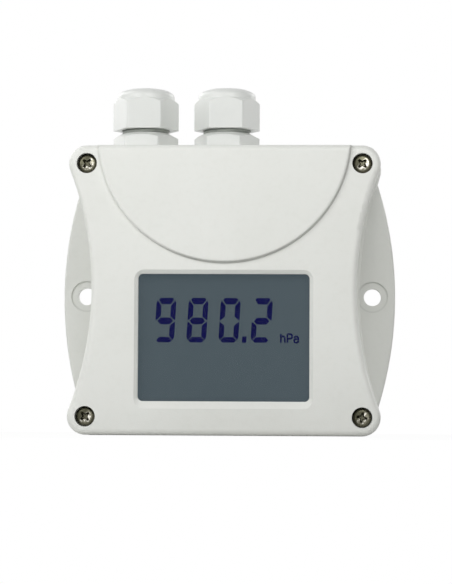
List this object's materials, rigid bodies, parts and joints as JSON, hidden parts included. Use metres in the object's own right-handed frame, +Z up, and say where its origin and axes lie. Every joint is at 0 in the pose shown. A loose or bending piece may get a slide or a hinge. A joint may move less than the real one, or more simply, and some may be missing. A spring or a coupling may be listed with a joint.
{
  "type": "barometric pressure transmitter",
  "caption": "Wall-mounted barometric pressure transmitter: waisted plastic case with an LCD window, corner screws, side wings with wall holes and domed cable glands on top.",
  "frame": {"origin": "on the wall plane, midway between the two wall holes", "axes": "+X right as seen from the front, +Y into the wall, +Z up along the glands"},
  "size_m": [0.089, 0.0395, 0.0917],
  "materials": {
    "case_plastic": "fine matt moulded",
    "gland_plastic": "satin moulded",
    "gland_inner": "satin moulded",
    "seal_rubber": "matt",
    "screw_steel": "plated",
    "clear_pane": "clear",
    "lcd_cell": "grey cell",
    "frame_plastic": "moulded",
    "board_laminate": "solder mask",
    "terminal_plastic": "moulded",
    "link_plastic": "moulded",
    "contact_brass": "tinned",
    "sensor_steel": "drawn",
    "chip_resin": "moulded",
    "capacitor_can": "sleeved"
  },
  "bodies": {
    "housing": {"rear_housing": "case_plastic", "front_cover": "case_plastic", "cover_seal": "seal_rubber", "cover_screws": "screw_steel", "display_window": "clear_pane", "lcd_glass": "lcd_cell", "contact_strips": "seal_rubber", "lcd_frame": "frame_plastic", "display_board": "board_laminate", "display_screws": "screw_steel", "main_board": "board_laminate", "board_screws": "screw_steel", "terminal_block": "terminal_plastic", "terminal_clamps": "contact_brass", "terminal_screws": "screw_steel", "pressure_sensor": "sensor_steel", "processor_chip": "chip_resin", "storage_capacitor": "capacitor_can", "link_header": "link_plastic", "link_pins": "contact_brass", "link_socket": "link_plastic", "left_gland_body": "gland_plastic", "left_gland_washer": "seal_rubber", "left_gland_locknut": "gland_plastic", "right_gland_body": "gland_plastic", "right_gland_washer": "seal_rubber", "right_gland_locknut": "gland_plastic"},
    "left_clamp": {"left_gland_claw": "gland_inner", "left_gland_seal": "seal_rubber"},
    "left_nut": {"left_gland_nut": "gland_plastic"},
    "right_clamp": {"right_gland_claw": "gland_inner", "right_gland_seal": "seal_rubber"},
    "right_nut": {"right_gland_nut": "gland_plastic"}
  },
  "joints": [
    {"name": "left_clamp_lift", "type": "slide", "parent": "housing", "child": "left_clamp", "axis": [0, 0, 1], "range_m": [-0.00054, 0.003]},
    {"name": "left_nut_turn", "type": "hinge", "parent": "left_clamp", "child": "left_nut", "pos_m": [-0.0221, -0.011, 0.046], "axis": [0, 0, 1], "range_deg": [-132, 722]},
    {"name": "right_clamp_lift", "type": "slide", "parent": "housing", "child": "right_clamp", "axis": [0, 0, 1], "range_m": [-0.00054, 0.003]},
    {"name": "right_nut_turn", "type": "hinge", "parent": "right_clamp", "child": "right_nut", "pos_m": [-0.0005, -0.011, 0.046], "axis": [0, 0, 1], "range_deg": [-132, 722]}
  ],
  "couplings": [
    {"joint": "left_nut_turn", "follows": "left_clamp_lift", "rad_per_m": 4188.8},
    {"joint": "right_nut_turn", "follows": "right_clamp_lift", "rad_per_m": 4188.8}
  ]
}
